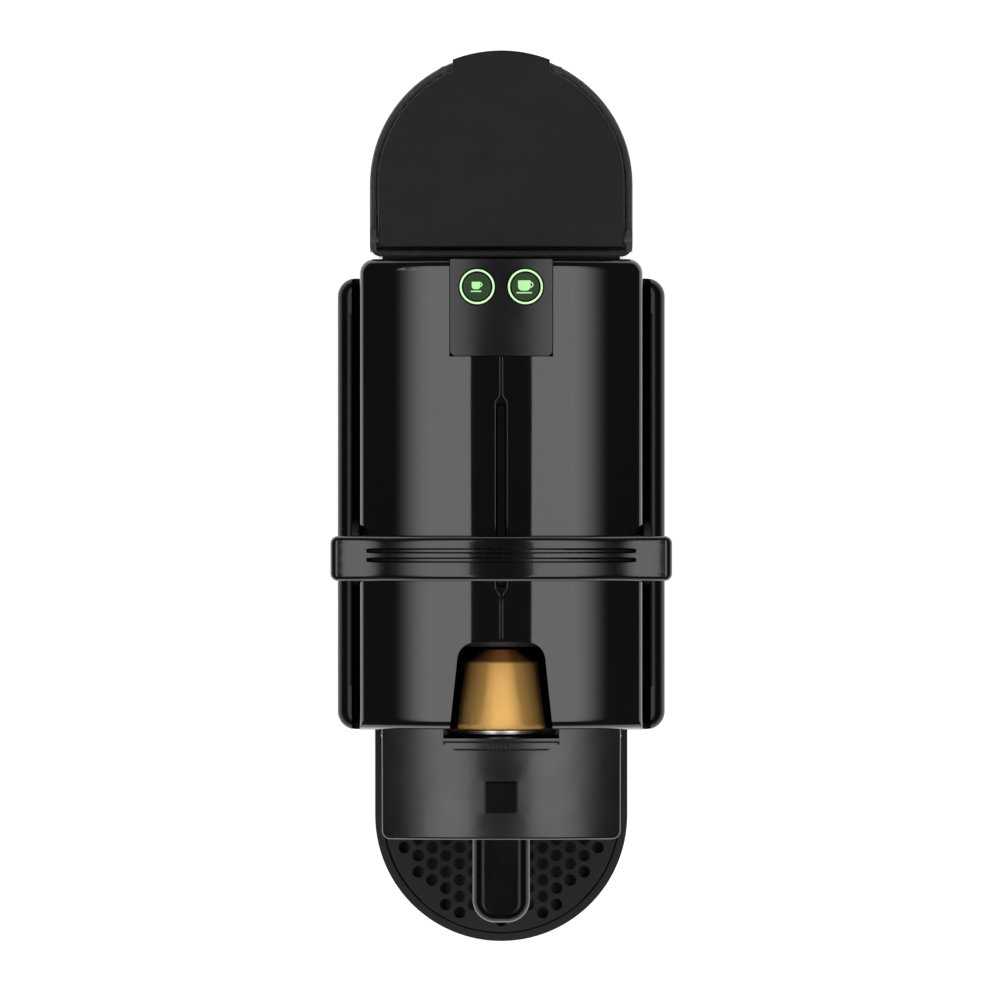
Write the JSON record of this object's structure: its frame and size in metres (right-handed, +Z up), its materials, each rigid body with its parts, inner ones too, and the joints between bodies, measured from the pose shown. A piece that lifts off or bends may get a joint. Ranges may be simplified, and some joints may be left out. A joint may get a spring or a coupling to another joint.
{
  "type": "pod coffee machine",
  "caption": "Compact black pod coffee machine with a raised lever over a capsule slot, a smoked rear water tank, a forward coffee outlet and a folding cup support.",
  "frame": {"origin": "on the table under the middle of the machine's outline", "axes": "+Z up, +Y towards the water tank at the rear, +X to the right seen from above with the cup side nearest"},
  "size_m": [0.1196, 0.3216, 0.267],
  "materials": {
    "gloss_black": "gloss",
    "side_black": "satin gloss",
    "satin_black": "satin, fine grain",
    "tray_black": "fine matt grain",
    "smoked_tank": "smoked clear copolyester",
    "steel": "zinc-plated and brushed steel",
    "frame_grey": "glass-filled polyamide",
    "rubber": "matt",
    "hose_silicone": "translucent silicone",
    "button_face": "back-lit satin",
    "button_light": "lit ring",
    "cast_aluminium": "cast",
    "pump_metal": "stamped and moulded",
    "board_green": "solder resist",
    "capsule_gold": "anodised gold",
    "capsule_foil": "plain foil"
  },
  "bodies": {
    "root": {"base_plate": "satin_black", "rubber_feet": "rubber", "left_side_shell": "side_black", "right_side_shell": "side_black", "top_shell": "gloss_black", "seam_strip": "side_black", "button_panel": "satin_black", "light_rings": "button_light", "back_cover": "satin_black", "mains_inlet": "frame_grey", "chassis": "frame_grey", "pivot_bushes": "steel", "brew_frame": "frame_grey", "extraction_plate": "steel", "capsule_guide": "frame_grey", "nose_cover": "satin_black", "badge": "satin_black", "coffee_spout": "side_black", "coffee_collector": "frame_grey", "circuit_board": "board_green", "button_domes": "rubber", "pump": "pump_metal", "pump_mounts": "rubber", "thermoblock": "cast_aluminium", "flow_meter": "frame_grey", "suction_hose": "hose_silicone", "pressure_hose": "hose_silicone", "rear_screws": "steel", "dock_seal": "rubber"},
    "lever": {"lever_arms": "steel", "lever_grip": "side_black"},
    "cage": {"capsule_cage": "frame_grey", "piercing_plate": "steel"},
    "small_button": {"small_cup_button": "button_face"},
    "large_button": {"large_cup_button": "button_face"},
    "tank": {"water_tank": "smoked_tank", "tank_valve": "frame_grey", "lid_pins": "steel"},
    "lid": {"tank_lid": "satin_black"},
    "capsule": {"capsule_body": "capsule_gold", "capsule_foil": "capsule_foil"},
    "drawer": {"drip_base": "tray_black", "capsule_container": "tray_black", "support_hinge_pin": "steel"},
    "support": {"cup_support": "tray_black", "drip_grid": "tray_black"}
  },
  "joints": [
    {"name": "lever_swing", "type": "hinge", "parent": "root", "child": "lever", "pos_m": [0, -0.0234, 0.176], "axis": [-1, 0, 0], "range_deg": [-66, 0]},
    {"name": "cage_slide", "type": "slide", "parent": "root", "child": "cage", "axis": [0, 1, 0], "range_m": [-0.0292, 0]},
    {"name": "small_cup_press", "type": "slide", "parent": "root", "child": "small_button", "axis": [0, 0, 1], "range_m": [-0.0015, 0], "stiffness_N_per_m": 400, "springref_m": 0.001},
    {"name": "large_cup_press", "type": "slide", "parent": "root", "child": "large_button", "axis": [0, 0, 1], "range_m": [-0.0015, 0], "stiffness_N_per_m": 400, "springref_m": 0.001},
    {"name": "tank_lift", "type": "slide", "parent": "root", "child": "tank", "axis": [0, 0, 1], "range_m": [0, 0.06]},
    {"name": "lid_hinge", "type": "hinge", "parent": "tank", "child": "lid", "pos_m": [0, 0.0935, 0.2116], "axis": [1, 0, 0], "range_deg": [0, 95]},
    {"name": "capsule_lift", "type": "slide", "parent": "root", "child": "capsule", "axis": [0, 0, 1], "range_m": [0, 0.055]},
    {"name": "drawer_slide", "type": "slide", "parent": "root", "child": "drawer", "axis": [0, -1, 0], "range_m": [0, 0.08]},
    {"name": "support_fold", "type": "hinge", "parent": "drawer", "child": "support", "pos_m": [0, -0.0952, 0.043], "axis": [-1, 0, 0], "range_deg": [0, 85]}
  ],
  "couplings": [
    {"joint": "cage_slide", "follows": "lever_swing", "m_per_rad": 0.025348}
  ]
}
